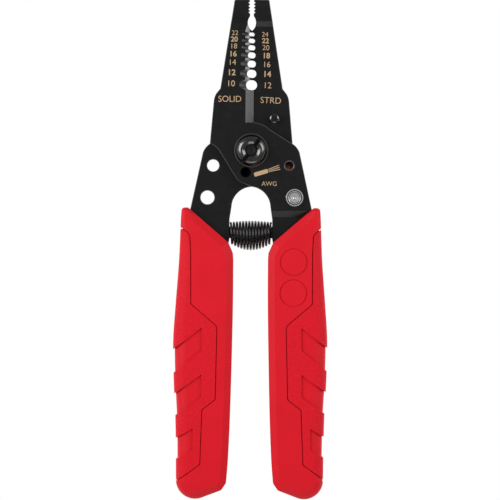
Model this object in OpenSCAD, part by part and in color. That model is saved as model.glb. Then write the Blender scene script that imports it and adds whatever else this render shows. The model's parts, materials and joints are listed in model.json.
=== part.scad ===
// Spring-opened wire stripper and cutter with a pivoting closing lock.
// It lies on the backs of its grips: +Z is the front face, +Y points to the
// nose, and the origin is under the middle of its outline.

/* [Overall] */
// Length from the nose to the ends of the grips
total_len = 181; // [180:0.5:184]
// Distance from the pivot up to the nose
nose_reach = 54.7; // [54.5:0.1:55.5]
// Thickness of each steel half
plate_t = 3; // [2.9:0.1:3.1]
// Thickness of the grips, front to back
grip_t = 14; // [13.6:0.2:15]

/* [Jaws] */
// Heights of the stripping holes above the pivot, largest wire first
strip_y = [23.75, 27.85, 31.4, 34.55, 37.3, 39.8, 42.15];
// Diameters of the stripping holes, largest wire first
strip_d = [3.65, 3, 2.55, 2.25, 1.95, 1.75, 1.5];
// How far each jaw's edge passes the middle in the stripping holes
edge_lap = 0.35; // [0.3:0.05:0.5]
// How far each jaw's edge passes the middle in the wire cutter
cutter_lap = 0.8; // [0.6:0.1:1]
// Width of the ground bevel on the cutting edges
bevel_w = 2.65; // [2.4:0.05:2.8]
// Spacing of the teeth in the nose
tooth_pitch = 1.18; // [1.1:0.02:1.2]
// Depth of the teeth in the nose
tooth_depth = 0.65; // [0.4:0.05:0.7]

/* [Pivot] */
// Radius of the pivot bolt's shank
shank_r = 3; // [2.8:0.1:3.2]
// Radial running clearance between the shank and the rear half
running_fit = 0.04; // [0.02:0.01:0.08]
// Radius of the pivot washer
pivot_washer_r = 6.1; // [5.9:0.1:6.3]
// Radius of the pivot nut
pivot_nut_r = 5.6; // [5.4:0.1:5.8]
// Radius of the bolt's threaded end
thread_r = 2.1; // [2:0.1:2.2]

/* [Spring] */
// Number of turns of the return spring
spring_turns = 13; // [11:1:14]
// Thickness of the spring wire
spring_wire = 0.85; // [0.8:0.05:0.9]
// Outer diameter of the spring at its ends
spring_end_d = 7.35; // [7:0.05:7.6]
// Outer diameter of the spring at its middle
spring_mid_d = 10.7; // [9.5:0.1:11]

/* [Lock] */
// Angle that the lock lever turns between free and locked
lock_swing = 8; // [7:0.5:8.5]
// Radius of the stop pin, whose tail the lock lever props
stop_pin_r = 1.8; // [1.7:0.05:1.9]
// Radius of the lock rivet's shank
rivet_r = 1.6; // [1.5:0.05:1.8]

/* [Hidden] */
$fn = 64;

// Levels, with the pivot as the origin and the shear plane at z = 0
blade_gap = 0.04;            // between the two steel halves
plate_lo = blade_gap / 2;
plate_hi = plate_lo + plate_t;
mid_z = grip_t / 2;
pivot_y = total_len / 2 - nose_reach;
heel_y = nose_reach - total_len;   // ends of the grips
cut_clear = 1;               // how far cutters run past the metal
seat_gap = 0.02;             // between parts that only touch

// Steel colours
black_oxide = [0.12, 0.12, 0.13];
bright_nickel = [0.8, 0.8, 0.78];
bronze_steel = [0.42, 0.27, 0.16];
grip_red = [0.86, 0.14, 0.19];

cutter_bevel_w = bevel_w + 0.35;
stored_open = 0.8;           // opening angle past the one where the holes are round

// Bends that bring the nose and the tang to the middle plane
front_nose_bend = [46, 48.1];
rear_nose_bend = [44.8, 47.1];
neck_bend = [-24.3, -21.6];

// Tang inside the grip
tang_end = -112;
tang_out = [[22, -21.2], [22.4, -34], [21.6, -60], [19.6, tang_end]];
tang_in = [[14, tang_end], [10.6, -60], [8.9, -38], [7.75, -32], [7.75, -25]];

// Holes in the halves
loop_hole = [13.8, -5.43];
front_loop_r = 1.35;
front_loop_sink_r = 2;
rear_loop_r = 2.18;
heel_hole = [15.8, -17.05];
rear_heel_r = 2.5;
screw_hole = [-2, -7.9];
screw_hole_r = 1.5;
screw_hole_sink_r = 2.05;
screw_open = 22;             // opening angle at which the screw holes line up
sink_depth = 0.5;

// Stop pin and lock
stop_pin_at = [8.3, 11.6];
rivet_at = heel_hole;
lever_t = 1.8;
lever_hi = -plate_hi - 0.08;
lever_lo = lever_hi - lever_t;
lever_reach = norm(stop_pin_at - rivet_at);
lever_locked = atan2(stop_pin_at[1] - rivet_at[1], stop_pin_at[0] - rivet_at[0]);
lever_rest = lever_locked + lock_swing;
lever_tip_w = 2.2;
catch_gap = 0.06;

// Grip: edges as seen from the front, on the right-hand side
grip_top = -21.2;
heel_top = -119.5;           // where the grip's end begins to round off
grip_in_y = [-34.4, -36.4, -38.2, -56, -76, -96, -112, heel_top,
             -121.4, -122.9, -124.9, heel_y];
grip_in_x = [7.8, 6.7, 6.3, 6.35, 6.7, 7.2, 7.85, 8.4, 8.95, 10.2, 14.2, 18.6];
grip_out_y = [-21.2, -24, -40, -56, -69, -84, -97, -112, heel_top,
              -121.8, -124, -125.4, -126.1, heel_y];
grip_out_x = [24.5, 25.3, 25.95, 27.1, 27.95, 27.65, 26.95, 26.7, 26.65,
              26.2, 24.8, 23.1, 21.5, 20.2];
tang_clear = 0.05;           // clearance of the tang in its pocket
grip_round = 4.4;
grip_crown = 1.1;            // how much thinner the grip is at its ends
overlay_t = 1.6;

function lerp(a, b, t) = a + (b - a) * t;

// Points of an arc from p to q that stands off its chord by sag, to the left
function bow(p, q, sag, n = 8) =
    let (d = q - p, len = norm(d), u = d / len, v = [-u[1], u[0]],
         s = abs(sag), r = (len * len / 4 + s * s) / (2 * s),
         half = asin(min(1, len / 2 / r)), side = sign(sag),
         c = (p + q) / 2 + v * side * (s - r))
    [for (i = [0 : n]) let (a = lerp(-half, half, i / n))
        c + u * r * sin(a) + v * side * r * cos(a)];

// Smooth curve through the values ys at the falling places xs
function slope(xs, ys, i) =
    i == 0 ? (ys[1] - ys[0]) / (xs[1] - xs[0])
    : i == len(xs) - 1 ? (ys[i] - ys[i - 1]) / (xs[i] - xs[i - 1])
    : (ys[i + 1] - ys[i - 1]) / (xs[i + 1] - xs[i - 1]);
function span_of(xs, x, i = 0) =
    i >= len(xs) - 2 || x >= xs[i + 1] ? i : span_of(xs, x, i + 1);
function curve(xs, ys, x) =
    let (i = span_of(xs, x), h = xs[i + 1] - xs[i], t = (x - xs[i]) / h,
         m0 = slope(xs, ys, i) * h, m1 = slope(xs, ys, i + 1) * h)
    ys[i] + m0 * t + (3 * (ys[i + 1] - ys[i]) - 2 * m0 - m1) * t * t
    + (m0 + m1 - 2 * (ys[i + 1] - ys[i])) * t * t * t;

// ---- Steel halves ----

// Edge of the nose from its tip down to the cutting edge, teeth included
tooth_x = -0.68;
land_x = -0.66;
nose_edge = concat(
    [[-0.95, nose_reach]],
    [for (i = [0 : 3]) each [
        [tooth_x, nose_reach - 0.5 - i * tooth_pitch],
        [tooth_x - tooth_depth, nose_reach - 0.5 - (i + 0.5) * tooth_pitch]]],
    [[land_x, 49.6]],
    bow([land_x, 48.8], [edge_lap, 43.2], -1.3)
);

// Left jaw and right handle of the front half, as one flat outline
blank_outline = concat(
    nose_edge,
    [[edge_lap, 22], [cutter_lap, 21.8], [cutter_lap, 10.2]],
    bow([1.2, 10.1], [6.7, 7.6], 0.5, 6),
    bow([14, 2.98], [17.55, -0.8], 0.55, 5),
    tang_out,
    tang_in,
    bow([7.05, -20.3], [0, -13.1], -1.9, 12),
    bow([-2.4, -12.1], [-5.5, -9.9], 0.35, 4),
    bow([-11.2, -0.8], [-15, 2.4], -0.5, 5),
    bow([-13.68, 17.6], [-12.75, 20.6], 0.18, 4),
    [[-11.3, 22.4], [-6.45, nose_reach - 1.2]],
    bow([-6.4, nose_reach - 0.6], [-5.8, nose_reach], 0.15, 4)
);

// Side view of a half: nose and tang in the middle plane, the rest in front
module side_profile(nose_bend) {
    half = plate_t / 2;
    far = nose_reach + cut_clear;
    rotate([90, 0, 90])
        linear_extrude(height = 60, center = true)
            polygon([
                [tang_end - cut_clear, -half], [neck_bend[0], -half],
                [neck_bend[1], plate_lo], [nose_bend[0], plate_lo],
                [nose_bend[1], -half], [far, -half], [far, half],
                [nose_bend[1], half], [nose_bend[0], plate_hi],
                [neck_bend[1], plate_hi], [neck_bend[0], half],
                [tang_end - cut_clear, half]
            ]);
}

// Bevel ground on a cutting edge, from y0 to y1
module edge_bevel(y0, y1, lap, width) {
    land = 0.15;
    top = plate_hi + cut_clear;
    rise = (plate_hi - land) / width;
    translate([0, y1, 0])
        rotate([90, 0, 0])
            linear_extrude(height = y1 - y0)
                polygon([
                    [lap - width - cut_clear / rise, top], [lap, land],
                    [lap + cut_clear, land], [lap + cut_clear, top]
                ]);
}

// One half of each stripping hole, with its relief rising to the front face
module strip_notches() {
    relief = 2.5;
    tilt = atan2(relief, plate_t);
    relief_inset = 0.05;     // keeps the relief just inside the notch
    for (i = [0 : len(strip_d) - 1]) {
        r = strip_d[i] / 2;
        notch_x = -strip_y[i] * sin(stored_open / 2);
        translate([notch_x, strip_y[i], -cut_clear])
            cylinder(r = r, h = plate_t);
        translate([notch_x - r + r / cos(tilt) + relief_inset, strip_y[i], 0])
            rotate([0, -tilt, 0])
                translate([0, 0, -cut_clear])
                    cylinder(r = r, h = 3 * plate_t);
    }
}

module sunk_hole(at, r, sink_r) {
    translate([at[0], at[1], -plate_hi - cut_clear])
        cylinder(r = r, h = 2 * plate_hi + 2 * cut_clear);
    translate([at[0], at[1], plate_hi - sink_depth])
        cylinder(r1 = r, r2 = 2 * sink_r - r, h = 2 * sink_depth);
}

module through_hole(at, r) {
    translate([at[0], at[1], -plate_hi - cut_clear])
        cylinder(r = r, h = 2 * plate_hi + 2 * cut_clear);
}

// Blank that both halves are ground from: bent, bevelled and notched
module half_blank(nose_bend, bore_r) {
    difference() {
        intersection() {
            linear_extrude(height = 4 * plate_t, center = true)
                polygon(blank_outline);
            side_profile(nose_bend);
        }
        edge_bevel(21.9, 44.6, edge_lap, bevel_w);
        edge_bevel(10.1, 21.9, cutter_lap, cutter_bevel_w);
        strip_notches();
        through_hole([0, 0], bore_r);
        spring_stud_hole();
    }
}

// The front half is placed by its pivot; the rear half is the same, flipped
module at_pivot() translate([0, pivot_y, mid_z]) children();
module flipped() rotate([0, 180, 0]) children();

module front_blade() {
    color(black_oxide)
        at_pivot()
            difference() {
                half_blank(front_nose_bend, shank_r + seat_gap);
                sunk_hole(loop_hole, front_loop_r, front_loop_sink_r);
                sunk_hole(screw_hole, screw_hole_r, screw_hole_sink_r);
                through_hole(rivet_at, rivet_r + seat_gap);
            }
}

module rear_blade() {
    flip_pin = [-stop_pin_at[0], stop_pin_at[1]];
    turn = -screw_open;
    shear_hole = [
        -(screw_hole[0] * cos(turn) + screw_hole[1] * sin(turn)),
        -screw_hole[0] * sin(turn) + screw_hole[1] * cos(turn)
    ];
    color(black_oxide)
        at_pivot()
            flipped()
                difference() {
                    half_blank(rear_nose_bend, shank_r + running_fit);
                    through_hole(loop_hole, rear_loop_r);
                    through_hole(heel_hole, rear_heel_r);
                    through_hole(flip_pin, stop_pin_r + seat_gap);
                    through_hole(shear_hole, screw_hole_r);
                }
}

// ---- Grips ----

// Inner and outer edge of a grip at height y; its end thins as an ellipse
function heel_scale(y) =
    y >= heel_top ? 1 : sqrt(max(0, 1 - pow((heel_top - y) / (heel_top - heel_y), 2)));
function grip_in(y) = curve(grip_in_y, grip_in_x, min(grip_in_y[0], y));
function grip_out(y) = curve(grip_out_y, grip_out_x, y);
function grip_half_t(y) =
    let (t = (y - heel_y) / (grip_top - heel_y))
    grip_t / 2 - grip_crown * pow(abs(2 * t - 1), 3)
    - (1 - heel_scale(y)) * 2.4;

// Ring of section points at height y: a flat back and front, round sides
section_n = 5;
function grip_ring(y) =
    let (x0 = grip_in(y), x1 = grip_out(y), h = grip_half_t(y),
         r = min(grip_round, (x1 - x0) / 2 - 0.05), k = min(r, h - 0.5))
    concat(
        [for (i = [0 : section_n]) let (a = 90 * i / section_n)
            [x1 - r + r * cos(a), y, h - k + k * sin(a) - (grip_t / 2 - h)]],
        [for (i = [0 : section_n]) let (a = 90 + 90 * i / section_n)
            [x0 + r + r * cos(a), y, h - k + k * sin(a) - (grip_t / 2 - h)]],
        [for (i = [0 : section_n]) let (a = 180 + 90 * i / section_n)
            [x0 + r + r * cos(a), y, -grip_t / 2 + k + k * sin(a)]],
        [for (i = [0 : section_n]) let (a = 270 + 90 * i / section_n)
            [x1 - r + r * cos(a), y, -grip_t / 2 + k + k * sin(a)]]
    );

heel_angles = [0, 12, 20, 30, 40, 50, 60, 70, 80];
body_steps = 22;
grip_stations = concat(
    [for (a = heel_angles) lerp(heel_y, heel_top, 1 - cos(a))],
    [for (i = [0 : body_steps]) lerp(heel_top, grip_top, i / body_steps)]
);

// Closed skin through rings of equal point counts
module loft(rings) {
    n = len(rings[0]);
    m = len(rings);
    polyhedron(
        points = [for (ring = rings) each ring],
        faces = concat(
            [[for (i = [0 : n - 1]) i]],
            [for (j = [0 : m - 2]) for (i = [0 : n - 1])
                each let (a = j * n + i, b = j * n + (i + 1) % n)
                    [[a, a + n, b + n], [a, b + n, b]]],
            [[for (i = [n - 1 : -1 : 0]) (m - 1) * n + i]]
        )
    );
}

// Slanted top end of a grip
module grip_crop() {
    linear_extrude(height = 2 * grip_t, center = true)
        polygon(concat(
            [[-5, heel_y], [-5, -42], [6, -38]],
            bow([6.4, -36.6], [8.3, -33.2], 0.3, 4),
            bow([21.6, -22.1], [25.4, -22.4], 0.9, 6),
            [[40, -24], [40, heel_y]]
        ));
}

// Region of the textured outer strip, as seen from the front
overlay_edge = [
    [30, -26.4], [25.3, -28.3], [23.3, -29.6], [22.1, -31], [21.8, -55.6],
    [12.6, -63.2], [12.6, -65], [13.1, -90.2], [17.8, -94.4], [18.5, -114],
    [26.3, -119.6], [30, -121]
];
// Core that stays under the strip
overlay_bed = [
    [0, heel_y], [24.2, heel_y], [24.8, -76.3], [24.8, -64.3], [23.6, -46.3],
    [22.4, -16.3], [0, -16.3]
];
module overlay_strip() {
    difference() {
        linear_extrude(height = 2 * grip_t, center = true)
            polygon(overlay_edge);
        translate([0, 0, overlay_t - grip_t / 2])
            linear_extrude(height = grip_t - 2 * overlay_t - grip_crown)
                polygon(overlay_bed);
    }
}

module grip_blank() {
    intersection() {
        loft([for (y = grip_stations) grip_ring(y)]);
        grip_crop();
    }
}

module tang_pocket() {
    c = tang_clear;
    half = plate_t / 2 + c;
    mouth = -18;             // above the grip's top
    bend = neck_bend[0] - 0.7;
    translate([0, 0, -half])
        linear_extrude(height = 2 * half)
            polygon(concat(
                [[tang_out[0][0] + c, mouth]],
                [for (p = tang_out) p + [c, -c]],
                [for (p = tang_in) p - [c, c]],
                [[stud_face - c, mouth]]
            ));
    translate([5, bend, -half])
        cube([25, mouth - bend, 2 * plate_t]);
}

module grip_core() {
    color(grip_red)
        difference() {
            grip_blank();
            overlay_strip();
            tang_pocket();
        }
}

module grip_overlay() {
    color(grip_red)
        intersection() {
            grip_blank();
            overlay_strip();
        }
}

module mirrored_grip() mirror([1, 0, 0]) children();
module front_grip() at_pivot() grip_core();
module front_grip_overlay() at_pivot() grip_overlay();
module rear_grip() at_pivot() mirrored_grip() rear_grip_core();
module rear_grip_overlay() at_pivot() mirrored_grip() grip_overlay();

module rear_grip_core() {
    color(grip_red)
        difference() {
            grip_blank();
            overlay_strip();
            mirror([0, 0, 1]) tang_pocket();
        }
}

// ---- Return spring ----

spring_y = -29.7;
spring_half = 7.4;           // half of its length between the necks
spring_sag = 1;              // how far its middle bows towards the grips
wire_sides = 6;
turn_steps = 14;
function spring_bulge(x) = 1 - pow(x / spring_half, 2);
function coil_at(i) =
    let (t = i / (spring_turns * turn_steps), a = 360 * spring_turns * t,
         x = lerp(-spring_half, spring_half, t) * (1 - spring_wire / 2 / spring_half),
         bulge = spring_bulge(x),
         r = lerp(spring_end_d, spring_mid_d, bulge) / 2 - spring_wire / 2)
    [x, spring_y - spring_sag * bulge + r * cos(a), r * sin(a)];
function coil_ring(i) =
    let (a = 360 * i / turn_steps, c = coil_at(i))
    [for (k = [0 : wire_sides - 1]) let (b = -360 * k / wire_sides)
        c + spring_wire / 2
            * [sin(b), cos(b) * cos(a), cos(b) * sin(a)]];

module return_spring() {
    color(black_oxide)
        at_pivot()
            loft([for (i = [0 : spring_turns * turn_steps]) coil_ring(i)]);
}

// Stud in the neck's inner edge that holds one end of the spring
stud_face = 7.75;
module spring_stud_hole() {
    translate([stud_face - cut_clear, spring_y, 0])
        rotate([0, 90, 0])
            cylinder(r = 0.8 + seat_gap, h = 3 + cut_clear);
}
module spring_stud() {
    color(black_oxide)
        translate([0, spring_y, 0])
            rotate([0, 90, 0]) {
                translate([0, 0, stud_face - seat_gap])
                    cylinder(r = 0.8, h = 2.9);
                translate([0, 0, stud_face - 2.6])
                    cylinder(r1 = 1.6, r2 = 2.2, h = 2.6 - seat_gap);
            }
}
module front_spring_stud() at_pivot() spring_stud();
module rear_spring_stud() at_pivot() mirror([1, 0, 0]) spring_stud();

// ---- Pivot ----

head_r = 5.4;
head_t = 2.1;
wave_t = 0.5;
washer_t = 0.45;
nut_t = 2.7;
nut_base = plate_hi + washer_t + 2 * seat_gap;

module ring(r_out, r_in, z, h) {
    translate([0, 0, z])
        difference() {
            cylinder(r = r_out, h = h);
            translate([0, 0, -cut_clear])
                cylinder(r = r_in, h = h + 2 * cut_clear);
        }
}

module pivot_bolt() {
    head_hi = -plate_hi - wave_t - 2 * seat_gap;
    color(black_oxide)
        at_pivot() {
            rotate_extrude()
                polygon(concat(
                    [[0, head_hi - head_t], [head_r - 1.2, head_hi - head_t]],
                    bow([head_r - 0.9, head_hi - head_t], [head_r, head_hi - 1], -0.2, 4),
                    [[head_r, head_hi], [shank_r, head_hi],
                     [shank_r, plate_hi - 0.2], [thread_r, plate_hi + 0.1],
                     [thread_r, nut_base + 1.5], [thread_r - 0.3, nut_base + 1.8],
                     [0, nut_base + 1.8]]
                ));
        }
}

module wave_washer() {
    color(bright_nickel)
        at_pivot()
            ring(head_r - 0.4, shank_r + 0.1, -plate_hi - wave_t - seat_gap, wave_t);
}

module pivot_washer() {
    color(black_oxide)
        at_pivot()
            ring(pivot_washer_r, shank_r + 0.1, plate_hi + seat_gap, washer_t);
}

module pivot_nut() {
    slot_w = 1.4;
    slot_depth = 1.5;
    slot_angle = 54;
    color(black_oxide)
        at_pivot()
            difference() {
                rotate_extrude()
                    polygon(concat(
                        [[thread_r + seat_gap, nut_base], [pivot_nut_r, nut_base],
                         [pivot_nut_r, nut_base + 0.8]],
                        bow([pivot_nut_r - 0.3, nut_base + 1.3], [3.4, nut_base + nut_t], -0.35, 8),
                        [[3, nut_base + nut_t], [thread_r + 0.35, nut_base + 1.7],
                         [thread_r + seat_gap, nut_base + 1.4]]
                    ));
                rotate(slot_angle)
                    translate([-10, -slot_w / 2, nut_base + nut_t - slot_depth])
                        cube([20, slot_w, 2 * slot_depth]);
            }
}

// ---- Stop pin and closing lock ----

module stop_pin() {
    chamfer = 0.45;
    pin_top = plate_hi - 0.3;
    tail_lo = lever_lo + 0.1;
    color(black_oxide)
        at_pivot()
            translate([stop_pin_at[0], stop_pin_at[1], 0])
                rotate_extrude()
                    polygon([
                        [0, tail_lo], [stop_pin_r - 0.2, tail_lo],
                        [stop_pin_r, tail_lo + 0.2], [stop_pin_r, pin_top - chamfer],
                        [stop_pin_r - chamfer, pin_top], [0, pin_top]
                    ]);
}

// Nickel rivet on which the lever turns, with a ringed and dimpled front head
rivet_head_r = 3.2;
module lock_rivet() {
    tail_hi = lever_lo - 0.35;
    color(bright_nickel)
        at_pivot()
            translate([rivet_at[0], rivet_at[1], 0])
                rotate_extrude()
                    polygon([
                        [0, tail_hi - 1], [2.6, tail_hi - 1], [3, tail_hi - 0.5],
                        [3, tail_hi], [rivet_r, tail_hi],
                        [rivet_r, plate_hi + seat_gap],
                        [rivet_head_r, plate_hi + seat_gap],
                        [rivet_head_r, plate_hi + 0.7],
                        [rivet_head_r - 0.35, plate_hi + 1.05],
                        [2.4, plate_hi + 1.05], [2.15, plate_hi + 0.7],
                        [1.9, plate_hi + 0.7], [1.65, plate_hi + 1.05],
                        [1.45, plate_hi + 1.05], [0, plate_hi - 0.2]
                    ]);
}

module lock_spacer() {
    spacer_h = 2 * plate_lo + plate_t - seat_gap + 0.02;
    color(bright_nickel)
        at_pivot()
            translate([rivet_at[0], rivet_at[1], 0])
                ring(3.4, rivet_r + seat_gap, plate_lo - seat_gap - spacer_h, spacer_h);
}

module lock_washer() {
    color(bright_nickel)
        at_pivot()
            translate([rivet_at[0], rivet_at[1], 0])
                ring(3.6, rivet_r + seat_gap, lever_lo - 0.33, 0.28);
}

// Lever frame: origin at the rivet, +X towards the lever's tip
module in_lever(z) {
    translate([rivet_at[0], rivet_at[1], z])
        rotate(lever_rest)
            children();
}

paddle_at = [10.4, -1.5];
paddle_r = 5;
pad_peg_r = 1;
pad_pegs = [[7, -1.5], [13.4, 0.6]];
module lock_lever() {
    tip = lever_reach - stop_pin_r - catch_gap;
    half_tip = lever_tip_w / 2;
    color(bronze_steel)
        at_pivot()
            in_lever(lever_lo)
                difference() {
                    union() {
                        cylinder(r = 4.6, h = lever_t);
                        translate([paddle_at[0], paddle_at[1], 0])
                            cylinder(r = paddle_r, h = lever_t);
                        linear_extrude(height = lever_t)
                            polygon([
                                [0, 4.6], [0, -4.6], [paddle_at[0], -paddle_r - 1.5],
                                [15.5, -3], [19, -half_tip],
                                [lever_reach, -half_tip], [lever_reach, half_tip],
                                [16, half_tip + 0.4], [paddle_at[0], 3.4]
                            ]);
                    }
                    translate([0, 0, -cut_clear])
                        cylinder(r = rivet_r + running_fit, h = lever_t + 2 * cut_clear);
                    ring(2 * lever_reach, tip, -cut_clear, lever_t + 2 * cut_clear);
                    for (p = pad_pegs)
                        translate([p[0], p[1], -cut_clear])
                            cylinder(r = pad_peg_r + seat_gap, h = lever_t + 2 * cut_clear);
                }
}

// Ribbed pad moulded on the back of the lever, for the thumb
module lock_thumb_pad() {
    pad_t = 1.3;
    rib = 0.5;
    pad_len = 8.4;
    pad_w = 7;
    color([0.15, 0.15, 0.16])
        at_pivot()
            in_lever(lever_lo) {
                difference() {
                    translate([paddle_at[0] - pad_len / 2, paddle_at[1] - pad_w / 2, -pad_t])
                        cube([pad_len, pad_w, pad_t - seat_gap]);
                    for (i = [-2 : 2])
                        translate([paddle_at[0] + 1.6 * i - 0.35, paddle_at[1] - pad_w, -pad_t - 1])
                            cube([0.7, 2 * pad_w, 1 + rib]);
                }
                for (p = pad_pegs)
                    translate([p[0], p[1], -seat_gap - 0.2])
                        cylinder(r = pad_peg_r, h = lever_t - 0.2);
            }
}

front_blade();
front_grip();
front_grip_overlay();
front_spring_stud();
pivot_bolt();
pivot_washer();
pivot_nut();
wave_washer();
return_spring();
lock_rivet();
lock_spacer();
lock_washer();
rear_blade();
rear_grip();
rear_grip_overlay();
rear_spring_stud();
stop_pin();
lock_lever();
lock_thumb_pad();
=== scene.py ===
import json
import math

import bmesh
import bpy
import numpy as np
from mathutils import Matrix, Vector


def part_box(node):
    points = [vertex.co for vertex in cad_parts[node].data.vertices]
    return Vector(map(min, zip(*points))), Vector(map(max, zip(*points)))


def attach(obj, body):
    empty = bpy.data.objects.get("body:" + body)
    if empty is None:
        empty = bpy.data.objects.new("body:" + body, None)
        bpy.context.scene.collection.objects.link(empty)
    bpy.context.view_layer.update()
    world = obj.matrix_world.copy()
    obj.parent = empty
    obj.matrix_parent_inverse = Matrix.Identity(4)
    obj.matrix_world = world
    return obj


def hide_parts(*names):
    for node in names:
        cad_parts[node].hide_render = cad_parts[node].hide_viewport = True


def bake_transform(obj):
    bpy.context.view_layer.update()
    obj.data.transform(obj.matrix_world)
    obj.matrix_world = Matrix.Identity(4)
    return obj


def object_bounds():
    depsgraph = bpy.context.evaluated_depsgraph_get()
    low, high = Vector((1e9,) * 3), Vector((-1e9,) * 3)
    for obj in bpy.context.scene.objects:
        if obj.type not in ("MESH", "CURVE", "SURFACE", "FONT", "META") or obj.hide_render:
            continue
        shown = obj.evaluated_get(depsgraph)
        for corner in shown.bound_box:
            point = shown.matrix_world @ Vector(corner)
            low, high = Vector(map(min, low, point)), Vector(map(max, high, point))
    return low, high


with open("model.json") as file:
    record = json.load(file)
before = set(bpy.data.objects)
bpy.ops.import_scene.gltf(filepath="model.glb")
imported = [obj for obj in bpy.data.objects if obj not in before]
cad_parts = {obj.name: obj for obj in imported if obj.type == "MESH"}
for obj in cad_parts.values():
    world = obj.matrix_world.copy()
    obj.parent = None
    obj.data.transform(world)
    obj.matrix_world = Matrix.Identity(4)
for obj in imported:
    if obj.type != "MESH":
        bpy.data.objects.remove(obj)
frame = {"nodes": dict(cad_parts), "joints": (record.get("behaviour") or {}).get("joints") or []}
cad_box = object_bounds()

# Everything is modelled in millimetres with the pivot as the origin and the
# shear plane at z = 0, then moved into the row frame in one step.
MM = 0.001
JOINTS = {j["name"]: j for j in frame["joints"]}
PIVOT = Vector(JOINTS["handle_pivot"]["pos_m"])
RIVET = (Vector(JOINTS["lock_pivot"]["pos_m"]) - PIVOT) / MM
TO_ROW = Matrix.Translation(PIVOT) @ Matrix.Scale(MM, 4)


def mm_box(node):
    """Lowest and highest corner of a CAD node, in the modelling frame."""
    lo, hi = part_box(node)
    return (lo - PIVOT) / MM, (hi - PIVOT) / MM


# ---------------------------------------------------------------- materials


class Nodes:
    """A material's node tree with short ways to add to it."""

    def __init__(self, name):
        self.mat = bpy.data.materials.new(name)
        self.mat.use_nodes = True
        self.tree = self.mat.node_tree
        self.shader = self.tree.nodes["Principled BSDF"]
        coords = self.add("ShaderNodeTexCoord")
        self.coords = coords.outputs["Object"]

    def add(self, kind, **settings):
        node = self.tree.nodes.new(kind)
        for key, value in settings.items():
            if key in node.inputs:
                node.inputs[key].default_value = value
            else:
                setattr(node, key, value)
        return node

    def link(self, a, b):
        self.tree.links.new(a, b)

    def scaled(self, scale):
        mapping = self.add("ShaderNodeMapping")
        mapping.inputs["Scale"].default_value = scale
        self.link(self.coords, mapping.inputs["Vector"])
        return mapping.outputs["Vector"]

    def noise(self, scale, detail=4.0, rough=0.55, stretch=None):
        node = self.add("ShaderNodeTexNoise", Scale=scale, Detail=detail, Roughness=rough)
        self.link(self.scaled(stretch) if stretch else self.coords, node.inputs["Vector"])
        return node.outputs["Fac"]

    def cells(self, scale):
        node = self.add("ShaderNodeTexVoronoi", Scale=scale)
        self.link(self.coords, node.inputs["Vector"])
        return node.outputs["Distance"]

    def ramp(self, value, low, high):
        node = self.add("ShaderNodeValToRGB")
        ends = node.color_ramp.elements
        ends[0].position, ends[1].position = 0.3, 0.7
        ends[0].color, ends[1].color = [
            (c, c, c, 1) if isinstance(c, (int, float)) else (*c, 1) for c in (low, high)
        ]
        self.link(value, node.inputs["Fac"])
        return node.outputs["Color"]

    def bump(self, value, strength, distance, below=None):
        node = self.add("ShaderNodeBump", Strength=strength, Distance=distance)
        self.link(value, node.inputs["Height"])
        if below is not None:
            self.link(below, node.inputs["Normal"])
        self.link(node.outputs["Normal"], self.shader.inputs["Normal"])
        return node.outputs["Normal"]

    def set(self, **sockets):
        for key, value in sockets.items():
            socket = self.shader.inputs[key.replace("_", " ")]
            if isinstance(value, bpy.types.NodeSocket):
                self.link(value, socket)
            else:
                socket.default_value = value
        return self.mat


def finished_steel(name, dark, light, rough, metallic=0.0, spec=0.5, grain=0.12):
    """Blackened or plated steel: slightly cloudy in tone and gloss, with a fine pickled grain."""
    n = Nodes(name)
    cloud = n.noise(140, 5)
    if grain:
        n.bump(n.noise(5200, 3, 0.7), grain, 0.00003)
    return n.set(
        Base_Color=n.ramp(cloud, dark, light),
        Roughness=n.ramp(n.noise(420, 4), rough - 0.05, rough + 0.05),
        Metallic=metallic,
        Specular_IOR_Level=spec,
    )


def ground_steel(name, dark, light, rough, along):
    """Bare ground steel with grinding lines that run along one axis."""
    n = Nodes(name)
    stretch = [2600, 2600, 2600]
    stretch["xyz".index(along)] = 90
    lines = n.noise(1, 3, 0.6, stretch)
    n.bump(lines, 0.25, 0.00002)
    return n.set(
        Base_Color=n.ramp(lines, dark, light),
        Roughness=n.ramp(n.noise(900, 3), rough - 0.05, rough + 0.08),
        Metallic=1.0,
    )


def moulded(name, dark, light, rough, grain_scale, grain, cell_scale=None, spec=0.35):
    """Moulded plastic with a spark-eroded grain, or a stipple of small cells."""
    n = Nodes(name)
    fine = n.noise(grain_scale, 4, 0.6)
    below = n.bump(fine, grain, 0.00006)
    tone = n.noise(75, 3)
    if cell_scale:
        tone = n.cells(cell_scale)
        n.bump(tone, 0.6, 0.00016, below)
    return n.set(
        Base_Color=n.ramp(tone, dark, light),
        Roughness=n.ramp(fine, rough - 0.06, rough + 0.06),
        Specular_IOR_Level=spec,
    )


def grey(value):
    return (value, value, value)


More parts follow.
